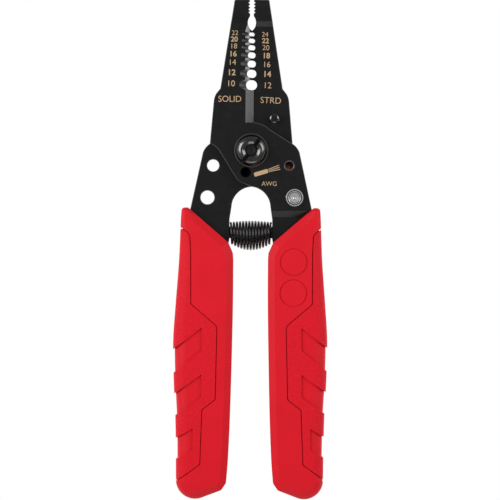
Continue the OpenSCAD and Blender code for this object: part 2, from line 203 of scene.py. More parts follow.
MAT = {
    "blade": finished_steel(
        "black_oxide_steel", (0.0045, 0.0045, 0.0047), (0.006, 0.0059, 0.0058), 0.34, spec=0.3
    ),
    # partly burnished wear, partly painted highlight: chamfers, hole rims and the washer's rim are
    # coloured much lighter than the blackened faces so that they show as thin light lines
    "edge": finished_steel("burnished_edge_and_painted_highlight", grey(0.06), (0.085, 0.0845, 0.084), 0.38, 0.2),
    # near-black, low-gloss finish of the secondary bevels, notch walls, pin end and bolt end; on
    # the nut's slot and the rivet's grooves it is painted shade
    "land": finished_steel("black_land_and_painted_shade", grey(0.004), grey(0.007), 0.45, spec=0.2),
    # painted shade: an almost black, almost glossless material that stands in for the shadow
    # inside the front half's screw hole
    "shade": finished_steel("painted_hole_shade", grey(0.0015), grey(0.002), 0.7, spec=0.04, grain=0),
    "bevel": ground_steel("ground_steel_bevel", grey(0.14), grey(0.20), 0.42, "x"),
    "relief": ground_steel("ground_steel_relief", (0.11, 0.11, 0.115), grey(0.20), 0.38, "z"),
    "dark": finished_steel(
        "black_hardware", (0.045, 0.044, 0.043), (0.06, 0.058, 0.056), 0.3, 1.0, grain=0
    ),
    "polished": finished_steel(
        "polished_black_hardware", (0.085, 0.083, 0.081), (0.11, 0.107, 0.104), 0.2, 1.0, grain=0
    ),
    "nickel": finished_steel(
        "bright_nickel", (0.80, 0.80, 0.79), (0.88, 0.88, 0.87), 0.14, 0.88, grain=0
    ),
    "spring": finished_steel(
        "black_spring_wire", grey(0.03), (0.05, 0.049, 0.048), 0.27, 1.0, grain=0
    ),
    "bronze": finished_steel(
        "bronzed_steel", (0.24, 0.075, 0.026), (0.32, 0.11, 0.04), 0.22, 1.0, grain=0
    ),
    "plastic": moulded(
        "black_plastic", (0.012, 0.012, 0.013), (0.02, 0.02, 0.021), 0.5, 2600, 0.25
    ),
    "red": moulded(
        "red_moulding", (0.62, 0.0035, 0.012), (0.66, 0.0045, 0.015), 0.56, 3400, 0.10, spec=0.2
    ),
    "stipple": moulded(
        "red_stippled_moulding", (0.60, 0.0035, 0.012), (0.68, 0.0055, 0.018), 0.62, 2600, 0.2,
        cell_scale=2300, spec=0.16,
    ),
    "print": moulded("tan_printing", (0.42, 0.285, 0.16), (0.54, 0.37, 0.215), 0.6, 3000, 0.2),
}


# ---------------------------------------------------------------- mesh tools

WELD = 1e-4


def lerp(a, b, t):
    return a + (b - a) * t


def bow(p, q, sag, n=24):
    """Points of an arc from p to q that stands off its chord by sag, to the left."""
    p, q = np.array(p, float), np.array(q, float)
    chord = np.linalg.norm(q - p)
    u = (q - p) / chord
    v = np.array([-u[1], u[0]]) * math.copysign(1, sag)
    s = abs(sag)
    r = (chord * chord / 4 + s * s) / (2 * s)
    half = math.asin(min(1, chord / 2 / r))
    c = (p + q) / 2 + v * (s - r)
    angles = np.linspace(-half, half, n + 1)
    return [tuple(c + u * r * math.sin(a) + v * r * math.cos(a)) for a in angles]


def mitres(points):
    """What moves each corner of a counter-clockwise loop inwards by one unit from its edges."""
    p = np.array(points, float)
    e = np.roll(p, -1, 0) - p
    e /= np.linalg.norm(e, axis=1)[:, None]
    n = np.stack([-e[:, 1], e[:, 0]], 1)
    before = np.roll(n, 1, 0)
    return (n + before) / (1 + (n * before).sum(1))[:, None]


def inset(points, d):
    return np.array(points, float) + mitres(points) * np.reshape(d, (-1, 1))


def rounded(points, radii, n=6):
    """A counter-clockwise loop with rounded corners, n + 1 points each; radius None keeps one."""
    p = np.array(points, float)
    out = []
    for i, r in enumerate(radii):
        if r is None:
            out.append(tuple(p[i]))
            continue
        a, b = p[i - 1] - p[i], p[(i + 1) % len(p)] - p[i]
        la, lb = np.linalg.norm(a), np.linalg.norm(b)
        a, b = a / la, b / lb
        half = math.acos(max(-1, min(1, float(a @ b)))) / 2
        r = min(r, 0.49 * min(la, lb) * math.tan(half))
        mid = (a + b) / np.linalg.norm(a + b)
        c = p[i] + mid * r / math.sin(half)
        start, end = p[i] + a * r / math.tan(half) - c, p[i] + b * r / math.tan(half) - c
        turn = math.atan2(start[0] * end[1] - start[1] * end[0], start @ end)
        for k in range(n + 1):
            t = turn * k / n
            out.append(
                (
                    c[0] + start[0] * math.cos(t) - start[1] * math.sin(t),
                    c[1] + start[0] * math.sin(t) + start[1] * math.cos(t),
                )
            )
    return out


def link_new(name, data):
    obj = bpy.data.objects.new(name, data)
    bpy.context.scene.collection.objects.link(obj)
    return obj


def new_object(name, verts, faces, mats, face_mats=None):
    mesh = bpy.data.meshes.new(name)
    mesh.from_pydata([tuple(v) for v in verts], [], faces)
    for m in [mats] if isinstance(mats, str) else mats:
        mesh.materials.append(MAT[m])
    if face_mats is not None:
        mesh.polygons.foreach_set("material_index", face_mats)
    mesh.update()
    return link_new(name, mesh)


def skin(name, rings, mats, side_mats=None):
    """Closed skin through rings of equal counts, each counter-clockwise from above, going up."""
    n, m = len(rings[0]), len(rings)
    verts = [p for ring in rings for p in ring]
    faces = [list(range(n - 1, -1, -1))]
    kinds = [0]
    for j in range(m - 1):
        for i in range(n):
            k = (i + 1) % n
            faces.append([j * n + i, j * n + k, j * n + n + k, j * n + n + i])
            kinds.append(side_mats[j] if side_mats else 0)
    faces.append([(m - 1) * n + i for i in range(n)])
    kinds.append(0)
    return new_object(name, verts, faces, mats, kinds)


def prism(name, outline, z0, z1, mats):
    return skin(name, [[(x, y, z) for x, y in outline] for z in (z0, z1)], mats)


def lathe(name, profile, mats, at=(0, 0, 0), n=96, kinds=None):
    """Turned piece: profile is (radius, z), up from the axis and back, or a ring clear of it."""
    closed = profile[0][0] > 0
    verts, faces, mat_ids, first = [], [], [], []
    for r, z in profile:
        first.append(len(verts))
        if r <= 1e-9:
            verts.append((at[0], at[1], at[2] + z))
        else:
            for i in range(n):
                a = 2 * math.pi * i / n
                verts.append((at[0] + r * math.cos(a), at[1] + r * math.sin(a), at[2] + z))
    spans = [(i, i + 1) for i in range(len(profile) - 1)]
    if closed:
        spans.append((len(profile) - 1, 0))
    for s, (i, j) in enumerate(spans):
        for k in range(n):
            q = (k + 1) % n
            a, b = first[i], first[j]
            if profile[i][0] <= 1e-9:
                faces.append([a, b + q, b + k])
            elif profile[j][0] <= 1e-9:
                faces.append([a + k, a + q, b])
            else:
                faces.append([a + k, a + q, b + q, b + k])
            mat_ids.append(kinds[s] if kinds else 0)
    return new_object(name, verts, faces, mats, mat_ids)


def bake(obj):
    """Replaces an object's mesh by what its modifiers make of it."""
    graph = bpy.context.evaluated_depsgraph_get()
    made = bpy.data.meshes.new_from_object(obj.evaluated_get(graph))
    obj.modifiers.clear()
    old, obj.data = obj.data, made
    bpy.data.meshes.remove(old)


def drop(obj):
    mesh = obj.data
    bpy.data.objects.remove(obj)
    bpy.data.meshes.remove(mesh)


def carve(obj, cutter, how="DIFFERENCE", keep=False):
    """Boolean of one closed mesh with another, which is used up unless it is to be kept."""
    mod = obj.modifiers.new("carve", "BOOLEAN")
    mod.operation, mod.solver, mod.object = how, "EXACT", cutter
    mod.material_mode = "TRANSFER"
    bake(obj)
    if not keep:
        drop(cutter)
    return obj


def slice_across(obj, stations):
    """Cuts the mesh at places along y, so that it can be bent there."""
    bm = bmesh.new()
    bm.from_mesh(obj.data)
    for y in stations:
        bmesh.ops.bisect_plane(
            bm, geom=bm.verts[:] + bm.edges[:] + bm.faces[:], dist=1e-5,
            plane_co=(0, y, 0), plane_no=(0, 1, 0),
        )
    bm.to_mesh(obj.data)
    bm.free()


def move_points(obj, change):
    co = np.zeros(len(obj.data.vertices) * 3)
    obj.data.vertices.foreach_get("co", co)
    co = change(co.reshape(-1, 3))
    obj.data.vertices.foreach_set("co", co.ravel())
    obj.data.update()


def turned_over(co):
    return co * [-1, 1, -1]


def clean(obj):
    """Welds a mesh, drops what has no area and turns its faces outwards."""
    bm = bmesh.new()
    bm.from_mesh(obj.data)
    bmesh.ops.remove_doubles(bm, verts=bm.verts[:], dist=WELD)
    bmesh.ops.dissolve_degenerate(bm, edges=bm.edges[:], dist=WELD)
    loose = [v for v in bm.verts if not v.link_faces]
    bmesh.ops.delete(bm, geom=loose, context="VERTS")
    bmesh.ops.recalc_face_normals(bm, faces=bm.faces[:])
    bm.to_mesh(obj.data)
    bm.free()


def put(obj, body, slot, *nodes, sharp=28):
    """Moves a finished piece into the row frame and hangs it on its body, instead of nodes."""
    clean(obj)
    mesh = obj.data
    mesh.transform(TO_ROW)
    mesh.shade_smooth()
    mesh.set_sharp_from_angle(angle=math.radians(sharp))
    mesh.update()
    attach(obj, body)
    if nodes:
        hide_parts(*nodes)
    return obj


# ---------------------------------------------------------------- steel halves

PLATE_LO, PLATE_HI = 0.02, 3.02
HALF_T = (PLATE_HI - PLATE_LO) / 2
NOSE_Y = 54.7
STRIP_Y = [23.75, 27.85, 31.4, 34.55, 37.3, 39.8, 42.15]
STRIP_D = [3.65, 3, 2.55, 2.25, 1.95, 1.75, 1.5]
STORED_OPEN = math.radians(0.8)
EDGE_LAP, CUTTER_LAP = 0.35, 0.8
BLANK_CHAMFER, EDGE_CHAMFER, HOLE_CHAMFER = 0.2, 0.03, 0.25
RELIEF_TILT = math.atan2(2.5, 3.0)
SHANK_R = 3.0
SPRING_Y = -29.7
STUD_FACE = 7.75
NECK_BEND = (-24.3, -21.6)
LOOP_HOLE, HEEL_HOLE, SCREW_HOLE = (13.8, -5.43), (15.8, -17.05), (-2, -7.9)
STOP_PIN = (8.3, 11.6)
SCREW_OPEN = math.radians(22)


def blank_outline():
    """Outline of one half, counter-clockwise, with the width of the chamfer at each corner."""
    pitch, deep = 1.18, 0.65
    teeth = [(-0.95, NOSE_Y)]
    for i in range(4):
        y = NOSE_Y - 0.5 - i * pitch
        teeth += [(-0.68, y), (-0.68 - deep, y - pitch / 2)]
    edge = teeth + [(-0.66, 49.6)] + bow((-0.66, 48.8), (EDGE_LAP, 43.2), -1.3)
    edge += [(EDGE_LAP, 22), (CUTTER_LAP, 21.8), (CUTTER_LAP, 10.2)]
    rest = bow((1.2, 10.1), (6.7, 7.6), 0.5) + bow((14, 2.98), (17.55, -0.8), 0.55)
    rest += [(22, -21.2), (22.4, -34), (21.6, -60), (19.6, -112)]
    rest += [(14, -112), (10.6, -60), (8.9, -38), (STUD_FACE, -32), (STUD_FACE, -25)]
    rest += bow((7.05, -20.3), (0, -13.1), -1.9, 40) + bow((-2.4, -12.1), (-5.5, -9.9), 0.35, 12)
    rest += bow((-11.2, -0.8), (-15, 2.4), -0.5, 14) + bow((-13.68, 17.6), (-12.75, 20.6), 0.18, 8)
    rest += [(-11.3, 22.4), (-6.45, NOSE_Y - 1.2)]
    rest += bow((-6.4, NOSE_Y - 0.6), (-5.8, NOSE_Y), 0.15, 8)
    points = edge + rest
    chamfer = [EDGE_CHAMFER] * len(edge) + [BLANK_CHAMFER] * len(rest)
    # the outline runs clockwise
    return points[::-1], chamfer[::-1]


def joggle(y, nose_bend):
    """How far a half is set back at height y, with softened bends."""
    total = 0
    for w in np.linspace(-0.35, 0.35, 9):
        up = np.clip((y + w - nose_bend[0]) / (nose_bend[1] - nose_bend[0]), 0, 1)
        down = np.clip((NECK_BEND[1] - y - w) / (NECK_BEND[1] - NECK_BEND[0]), 0, 1)
        total = total + (up + down) / 9
    return -total * (PLATE_LO + HALF_T)


def hole_cutter(at, r, mats, sink=None):
    """Drill with a chamfer at both faces; sink is another one at the front, (radius, depth)."""
    lo, hi = PLATE_LO, PLATE_HI
    wide, deep = sink if sink else (r + HOLE_CHAMFER, HOLE_CHAMFER)
    slope = (wide - r) / deep
    profile = [
        (0, lo - 1), (r + HOLE_CHAMFER + 1, lo - 1), (r, lo + HOLE_CHAMFER), (r, hi - deep),
        (wide + slope, hi + 1), (0, hi + 1),
    ]
    rim = len(mats) - 1
    return lathe("drill", profile, mats, (*at, 0), 72, [0, rim, 0, rim, 0])


def bevel_cutter(y0, y1, section, kinds):
    """Grinding cut from y0 to y1; section is (x, z) from the front face down to the edge."""
    top = PLATE_HI + 1
    loop = list(section) + [(section[-1][0] + 1.2, section[-1][1]), (section[-1][0] + 1.2, top)]
    n = len(loop)
    verts = [(x, y, z) for y in (y0, y1) for x, z in loop]
    faces = [list(range(n)), list(range(2 * n - 1, n - 1, -1))]
    ids = [kinds[0], kinds[0]]
    for i in range(n):
        k = (i + 1) % n
        faces.append([i, n + i, n + k, k])
        ids.append(kinds[i] if i < len(kinds) else kinds[0])
    obj = new_object("grind", verts, faces, ["bevel", "land", "edge"], ids)
    clean(obj)
    return obj


def grind_edges(obj):
    """Bevels of the stripping edge and the cutter, and the notches with scalloped reliefs."""
    # a primary bevel down to a steeper black one at the edge, run out at a slant by the nose
    section = [(-3.9, PLATE_HI + 1.02), (-0.72, 2.0), (EDGE_LAP, 0.15)]
    grind = bevel_cutter(21.9, 46.2, section, [0, 1, 1])
    run_out = [(-6, 43.3), (-2.35, 43.3), (-1.35, 46.3), (-1.35, 50), (-6, 50)]
    carve(grind, prism("run_out", run_out, 0, 6, "bevel"))
    carve(obj, grind)
    carve(obj, bevel_cutter(10.1, 21.9, [(-3.18, PLATE_HI + 1), (CUTTER_LAP, 0.15)], [0, 0]))
    for y, d in zip(STRIP_Y, STRIP_D):
        r, x = d / 2, -y * math.sin(STORED_OPEN / 2)
        carve(obj, lathe("notch", [(0, -1), (r, -1), (r, 2), (0, 2)], "land", (x, y, 0), 64))
        relief = lathe("relief", [(0, -1), (r, -1), (r, 9), (0, 9)], "relief", n=64)
        relief.data.transform(
            Matrix.Translation((x - r + r / math.cos(RELIEF_TILT) + 0.05, y, 0))
            @ Matrix.Rotation(-RELIEF_TILT, 4, "Y")
        )
        carve(obj, relief)


def half(name, nose_bend, bore_r, drills, over):
    """One finished half; drills are (place, radius, sink), and over turns it to the back."""
    points, chamfer = blank_outline()
    chamfer = np.array(chamfer)
    inner = inset(points, chamfer)
    levels = [
        (inner, PLATE_LO, 0), (points, PLATE_LO, 1), (points, PLATE_HI, -1), (inner, PLATE_HI, 0),
    ]
    rings = [
        [(x, y, z + side * c) for (x, y), c in zip(loop, chamfer)] for loop, z, side in levels
    ]
    obj = skin(name, rings, ["blade", "edge"], [1, 0, 1])
    grind_edges(obj)
    carve(obj, hole_cutter((0, 0), bore_r, ["blade", "edge"]))
    for at, r, sink in drills:
        # painted shade: the front screw hole's walls take the almost black shade material
        carve(obj, hole_cutter(at, r, ["shade"] if at == SCREW_HOLE else ["blade", "edge"], sink))
    if over:
        # painted shadow: an almost black disc on the rear half's face, where it shows at the
        # bottom of the front half's screw hole
        spot = [(0, -1), (1.6, -1), (1.6, PLATE_LO + 0.05), (0, PLATE_LO + 0.05)]
        carve(obj, lathe("spot", spot, "shade", (-SCREW_HOLE[0], SCREW_HOLE[1], 0), 48))
    bends = [(nose_bend[0], 1), (nose_bend[1], -1), (NECK_BEND[0], 1), (NECK_BEND[1], -1)]
    near = (-0.35, -0.2, -0.05, 0.1, 0.35)
    slice_across(obj, sorted({round(y + w * way, 3) for y, way in bends for w in near}))

    def set_back(co):
        co[:, 2] += joggle(co[:, 1], nose_bend)
        return turned_over(co) if over else co

    move_points(obj, set_back)
    return obj


def build_halves():
    front_drills = [
        (LOOP_HOLE, 1.5, (1.9, 0.3)),
        (SCREW_HOLE, 1.5, (1.9, 0.9)),
        (HEEL_HOLE, 1.62, None),
    ]
    # the rear half's screw hole meets the front one's when the tool is opened
    (x, y), c, s = SCREW_HOLE, math.cos(SCREW_OPEN), math.sin(SCREW_OPEN)
    rear_drills = [
        (LOOP_HOLE, 2.18, None),
        (HEEL_HOLE, 2.5, None),
        ((-STOP_PIN[0], STOP_PIN[1]), 1.82, None),
        ((-(x * c - y * s), x * s + y * c), 1.5, None),
    ]
    front = half("front_half_steel", (46, 48.1), SHANK_R + 0.02, front_drills, False)
    rear = half("rear_half_steel", (44.8, 47.1), SHANK_R + 0.04, rear_drills, True)
    put(front, "front_half", "blade_steel", "front_blade")
    put(rear, "rear_half", "blade_steel", "rear_blade")


# ---------------------------------------------------------------- grips

GRIP_TOP, HEEL_Y, HEEL_TOP = -20.8, -126.3, -119.5
GRIP_HALF = 7.0
OUT_Y = [-24, -40, -56, -69, -84, -97, -112, HEEL_TOP]
OUT_X = [25.3, 25.95, 27.1, 27.9, 27.6, 26.95, 26.7, 26.65]
IN_Y = [-38.4, -56, -76, -96, -112, HEEL_TOP]
IN_X = [6.3, 6.35, 6.7, 7.2, 7.85, 8.4]
OVERLAY_EDGE = [
    (30, -26.2), (25.2, -28.2), (23.2, -29.6), (22.2, -30.8), (21.85, -37), (21.77, -55.5),
    (12.6, -63.4), (12.35, -65.2), (12.93, -90.2), (17.75, -93.9), (18.45, -113.7),
    (26.3, -119.4), (30, -121),
]
OVERLAY_ROUND = [None, 0.6, 1.2, 1.2, 4, 0.9, 0.9, 0.6, 0.9, 0.9, 0.9, 0.9, None]
GAP, GROOVE_WIDE, GROOVE_DEEP = 0.32, 0.3, 0.75
POCKETS = [
    [(17.95, -64.1), (17.95, -72.3), (31, -82.9), (31, -74.1)],
    [(18.05, -81.0), (18.05, -89.3), (31, -98.6), (31, -90.3)],
    [(21.2, -100.5), (21.25, -108.3), (31, -114.2), (31, -106.3)],
]
POCKET_DEEP = 0.6
# where the groove leaves the side it opens out
NOTCHES = [
    [(25.15, -28.4), (26.8, -30.5), (26.8, -26.3)],
    [(26.15, -119.5), (27.8, -121), (27.8, -118)],
]
# the marks on the right grip: centres, radius, half the line's width and its floor
MARKS, MARK_R, MARK_LINE, MARK_Z = [(15.57, -40.4), (15.47, -51.6)], 4.8, 0.17, 6.72


def curve(xs, ys, x):
    """Smooth curve through ys at the falling places xs."""
    i = max(0, min(len(xs) - 2, int(np.searchsorted(-np.array(xs), -x)) - 1))

    def slope(k):
        a, b = max(k - 1, 0), min(k + 1, len(xs) - 1)
        return (ys[b] - ys[a]) / (xs[b] - xs[a])

    h = xs[i + 1] - xs[i]
    t = (x - xs[i]) / h
    m0, m1, d = slope(i) * h, slope(i + 1) * h, ys[i + 1] - ys[i]
    return ys[i] + m0 * t + (3 * d - 2 * m0 - m1) * t * t + (m0 + m1 - 2 * d) * t**3


def grip_controls():
    """Corners of the right-hand grip, counter-clockwise, as rows of
    (x, y, corner radius, edge width, edge drop, roundness)."""
    rows = []

    def row(x, y, radius, wide, drop, roundness):
        rows.append((x, y, radius, wide, drop, roundness))

    # the heel, an elliptic end that leans inwards
    ax, ay, a, b = 19.8, HEEL_TOP, 6.85, 6.8
    lean = math.atan(0.4)
    last = math.pi / 2 + math.atan(math.tan(lean) * a / b)
    for t in np.linspace(last, 0, 26):
        k = min(1, max(0, (last - t) / 0.9))
        x, y = ax + a * math.cos(t), ay - b * math.sin(t)
        row(x, y, None, lerp(3.4, 4.4, k), lerp(3.2, 4.4, k), lerp(0.8, 1, k))
    # the outer side, up
    for y in np.arange(-117.5, -25, 2.0):
        k = min(1, max(0, (-26 - y) / 9))
        row(curve(OUT_Y, OUT_X, y), y, None, lerp(1.7, 4.4, k), lerp(2.2, 4.4, k), 1)
    row(25.25, -23.6, None, 1.55, 2.0, 1)
    row(25.05, GRIP_TOP, 1.7, 1.35, 1.9, 1)
    row(22.75, GRIP_TOP + 0.05, 1.0, 1.35, 1.7, 0.7)
    # the slanted shoulder
    top, corner = np.array([22.75, GRIP_TOP]), np.array([8.2, -33.3])
    for t in (0.12, 0.25, 0.5):
        x, y = lerp(top, corner, t)
        k = min(1, t / 0.25)
        row(x, y, None, lerp(1.5, 2.7, k), lerp(1.7, 1.75, k), lerp(0.6, 0, k))
    row(8.2, -33.3, 1.2, 2.7, 1.75, 0)
    row(6.5, -37.1, 1.4, 2.45, 1.65, 0)
    # the inner side, down
    for y in np.arange(-39.5, -118.5, -2.5):
        row(curve(IN_Y, IN_X, y), y, None, 2.4, 1.6, 0)
    row(8.5, -120.4, 1.5, 2.4, 1.6, 0)
    row(10.2, -123.0, 1.4, 2.3, 1.7, 0.1)
    end = np.array([ax + a * math.cos(last), ay - b * math.sin(last)])
    for t in (0.2, 0.4, 0.6, 0.8):
        x, y = lerp(np.array([10.2, -123.0]), end, t)
        row(x, y, None, lerp(2.3, 3.4, t), lerp(1.7, 3.2, t), lerp(0.1, 0.8, t))
    return rows


def grip_body(name, mats, shrink=0.0):
    """The grip as one solid, flat front and back; shrink makes the shape smaller all round."""
    rows = grip_controls()
    flat = [(r[0], r[1]) for r in rows]
    steps, corner = 12, 6
    rings = []
    for side in (-1, 1):
        for k in range(steps + 1):
            u = k / steps if side > 0 else 1 - k / steps
            ang = u * math.pi / 2
            d, z = [], []
            for _, _, _, wide, drop, q in rows:
                d.append(lerp(wide * u, wide * (1 - math.cos(ang)), q))
                z.append(GRIP_HALF - drop + drop * lerp(u, math.sin(ang), q))
            d = np.array(d) + shrink
            loop = inset(flat, d)
            radii, heights = [], []
            for i, r in enumerate(rows):
                radii.append(None if r[2] is None else max(0.05, r[2] - d[i]))
                heights += [z[i]] * (1 if r[2] is None else corner + 1)
            loop = rounded(loop, radii, corner)
            rings.append([(x, y, side * (h - shrink)) for (x, y), h in zip(loop, heights)])
    return skin(name, rings, mats)


def crown(co):
    """Thins the grip towards its ends at the front, as its CAD solid does."""
    t = (co[:, 1] - HEEL_Y) / (-21.2 - HEEL_Y)
    front = GRIP_HALF - 2.2 * np.abs(2 * t - 1) ** 3
    co[:, 2] = -GRIP_HALF + (co[:, 2] + GRIP_HALF) * (front + GRIP_HALF) / (2 * GRIP_HALF)
    return co


def grip_pair(side):
    """Core and outer strip of a right-hand grip; the pattern moves out (side 1) or in (-1)."""
    far = GRIP_HALF + 3

    def shifted(loop):
        return [(x + side * (0.2 - 0.0039 * y), y) for x, y in loop]

    def column(name, loop, mats):
        return prism(name, loop, -far, far, mats)

    core = grip_body("core", "red")
    strip = grip_body("strip", "stipple")
    edge = shifted(OVERLAY_EDGE)
    wider = [r and r + GROOVE_WIDE for r in OVERLAY_ROUND]
    region = column("region", rounded(edge, wider, 5), "red")
    carve(region, grip_body("bed", "red", GROOVE_DEEP))
    carve(core, region)
    inner = rounded(inset(edge, GAP), OVERLAY_ROUND, 5)
    carve(strip, column("region", inner, "stipple"), "INTERSECT")
    carve(strip, grip_body("bed", "red", GROOVE_DEEP - 0.03))
    floor = grip_body("floor", "red", POCKET_DEEP)
    for loop in POCKETS:
        pocket = column("pocket", rounded(shifted(loop), [0.15, 1.3, None, None], 8), "red")
        carve(pocket, floor, keep=True)
        carve(strip, pocket)
    drop(floor)
    for wedge in NOTCHES:
        for obj in (core, strip):
            carve(obj, column("notch", wedge, "red"))
    return core, strip


def build_grips():
    stations = list(np.arange(HEEL_Y + 2.1, GRIP_TOP, 2.6))
    near, away = MARK_R - MARK_LINE, MARK_R + MARK_LINE
    line = [(near, MARK_Z), (away, MARK_Z), (away, 8), (near, 8)]
    parts = (("grip", "grip_smooth"), ("grip_overlay", "grip_textured"))
    for half_name, hand, side in (("front", "right", 1), ("rear", "left", -1)):
        pair = grip_pair(side)
        if side > 0:
            for at in MARKS:
                carve(pair[0], lathe("ring", line, "red", (*at, 0), 96))
        for obj, (part, slot) in zip(pair, parts):
            slice_across(obj, stations)
            move_points(obj, crown)
            if side < 0:
                move_points(obj, lambda co: co * [-1, 1, 1])
                obj.data.flip_normals()
            obj.name = obj.data.name = f"{hand}_grip_{part}"
            put(obj, half_name + "_half", slot, f"{half_name}_{part}", sharp=24)


# ---------------------------------------------------------------- spring


def build_spring():
    turns, wire, end_r, mid_r, reach, droop = 13, 0.8, 3.8, 5.4, 7.68, 1.1
    around, count = 14, 13 * 44
    across = np.array([1.0, 0, 0])
    rings = []
    for i in range(count + 1):
        t = i / count
        x = lerp(-1, 1, t) * (reach - wire / 2)
        bulge = max(0.0, 1 - (x / reach) ** 2)
        a = 2 * math.pi * turns * t
        r = lerp(end_r, mid_r, bulge) - wire / 2
        cy = SPRING_Y - droop * bulge
        centre = np.array([x, cy + r * math.cos(a), r * math.sin(a)])
        radial = np.array([0, math.cos(a), math.sin(a)])
        rings.append(
            [
                tuple(centre + wire / 2 * (across * math.sin(b) + radial * math.cos(b)))
                for b in np.linspace(0, -2 * math.pi, around, endpoint=False)
            ]
        )
    spring = skin("return_spring_coil", rings, "spring")
    clean(spring)
    mesh = spring.data
    mesh.transform(TO_ROW)
    mesh.shade_smooth()
    mesh.set_sharp_from_angle(angle=math.radians(50))
    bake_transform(spring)
    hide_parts("return_spring")


# ---------------------------------------------------------------- pivot, pins and lock


def build_pivot():
    nut_lo, nut_hi = (v.z for v in mm_box("pivot_nut"))
    washer_lo, washer_hi = mm_box("pivot_washer")
    r = washer_hi.x
    put(
        lathe(
            "pivot_washer_ring",
            [
                (3.1, washer_lo.z), (r - 0.08, washer_lo.z), (r, washer_lo.z + 0.08),
                (r, washer_hi.z - 0.22), (r - 0.22, washer_hi.z), (3.1, washer_hi.z),
            ],
            ["dark", "edge"], n=128, kinds=[0, 0, 0, 1, 0, 0],
        ),
        "front_half", "dark_hardware", "pivot_washer",
    )
    nut_r, thread = mm_box("pivot_nut")[1].x, 2.12
    foot = [
        (thread, nut_lo), (nut_r - 0.1, nut_lo), (nut_r, nut_lo + 0.1), (nut_r, nut_lo + 0.75),
        (nut_r - 0.12, nut_lo + 0.95), (nut_r - 0.24, nut_lo + 1.1),
    ]
    dome = bow((nut_r - 0.3, nut_lo + 1.3), (3.4, nut_hi), -0.35, 20)
    mouth = [
        (3.2, nut_hi - 0.02), (3.05, nut_hi - 0.12), (2.3, nut_hi - 0.5), (thread, nut_hi - 0.7),
    ]
    nut = lathe("pivot_nut_dome", foot + dome + mouth, "polished", n=160)
    groove = [(-9, -0.7), (9, -0.7), (9, 0.7), (-9, 0.7)]
    # painted shade: the slot's walls and floor take the near-black land finish so that the slot
    # reads dark against the polished dome
    slot = prism("slot", groove, nut_hi - 1.7, nut_hi + 2, "land")
    slot.data.transform(Matrix.Rotation(math.radians(54), 4, "Z"))
    carve(nut, slot)
    put(nut, "front_half", "polished_hardware", "pivot_nut", sharp=32)

    lo, hi = mm_box("pivot_bolt")
    head_r, head_hi, end = hi.x, -PLATE_HI - 0.54, hi.z
    key_flat = [(-1.9, -1.05), (1.9, -1.05), (1.9, 1.05), (-1.9, 1.05)]
    bolt = lathe(
        "pivot_bolt_turned",
        [(0, lo.z + 0.5), (1.9, lo.z + 0.5), (2.1, lo.z), (head_r - 0.9, lo.z)]
        + bow((head_r - 0.8, lo.z), (head_r, lo.z + 1.1), -0.2, 12)
        + [
            (head_r, head_hi - 0.12), (head_r - 0.12, head_hi), (SHANK_R, head_hi),
            (SHANK_R, PLATE_HI - 0.2), (2.1, PLATE_HI + 0.1), (2.1, end - 0.3), (1.85, end),
            (1.2, end), (0.9, end - 0.12), (0, end - 0.12),
        ],
        ["dark", "land"], n=128, kinds=[0] * 20 + [1] * 6,
    )
    for turn in (0, 60, 120):
        key = prism("key", key_flat, lo.z - 1, lo.z + 1.4, "dark")
        key.data.transform(Matrix.Rotation(math.radians(turn), 4, "Z"))
        carve(bolt, key)
    put(bolt, "front_half", "dark_hardware", "pivot_bolt", sharp=32)


def build_pins():
    lo, hi = mm_box("stop_pin")
    r = (hi.x - lo.x) / 2
    put(
        lathe(
            "stop_pin_turned",
            [
                (0, lo.z), (r - 0.2, lo.z), (r, lo.z + 0.2), (r, hi.z - 0.62),
                (r - 0.06, hi.z - 0.42), (r - 0.2, hi.z - 0.22), (r - 0.62, hi.z), (0, hi.z),
            ],
            ["dark", "polished", "land"], (*STOP_PIN, 0), kinds=[0, 0, 0, 1, 1, 1, 2],
        ),
        "rear_half", "polished_hardware", "stop_pin", sharp=20,
    )
    lo, hi = mm_box("lock_rivet")
    face, head = hi.z, (hi.x - lo.x) / 2
    tail = [
        (0, lo.z + 0.25), (1.2, lo.z + 0.1), (1.9, lo.z), (2.6, lo.z), (2.9, lo.z + 0.25),
        (3, lo.z + 0.55), (3, lo.z + 1), (1.6, lo.z + 1), (1.6, PLATE_HI + 0.02),
    ]
    # rings turned in the head round a conical middle: how far from its edge and its face
    turned = [
        (0, 0.3), (0.1, 0.08), (0.2, 0), (0.42, 0), (0.5, 0.1), (0.56, 0.55), (0.7, 0.55),
        (0.76, 0.1), (0.84, 0), (1.04, 0), (1.12, 0.1), (1.18, 0.5), (1.3, 0.5),
    ]
    profile = tail + [(head, PLATE_HI + 0.02)] + [(head - x, face - z) for x, z in turned]
    profile += [(0.3, face - 1.15), (0, face - 1.2)]
    # painted shade: the outer groove's wall and floor, and the step down to the cone, take the
    # near-black land finish instead of nickel, so that they show as dark rings
    kinds = [0] * 14 + [1, 1, 0, 0, 0, 0, 1, 1, 0, 0]
    at = (RIVET.x, RIVET.y, 0)
    rivet = lathe("lock_rivet_turned", profile, ["nickel", "land"], at, 128, kinds)
    put(rivet, "front_half", "nickel", "lock_rivet", sharp=25)


LEVER_TURN = math.radians(8)
PADDLE = (10.4, -1.5)


def arc(at, r, first, last, n):
    """n points of an arc, from one direction in degrees to another."""
    return [
        (at[0] + r * math.cos(t), at[1] + r * math.sin(t))
        for t in np.linspace(math.radians(first), math.radians(last), n)
    ]


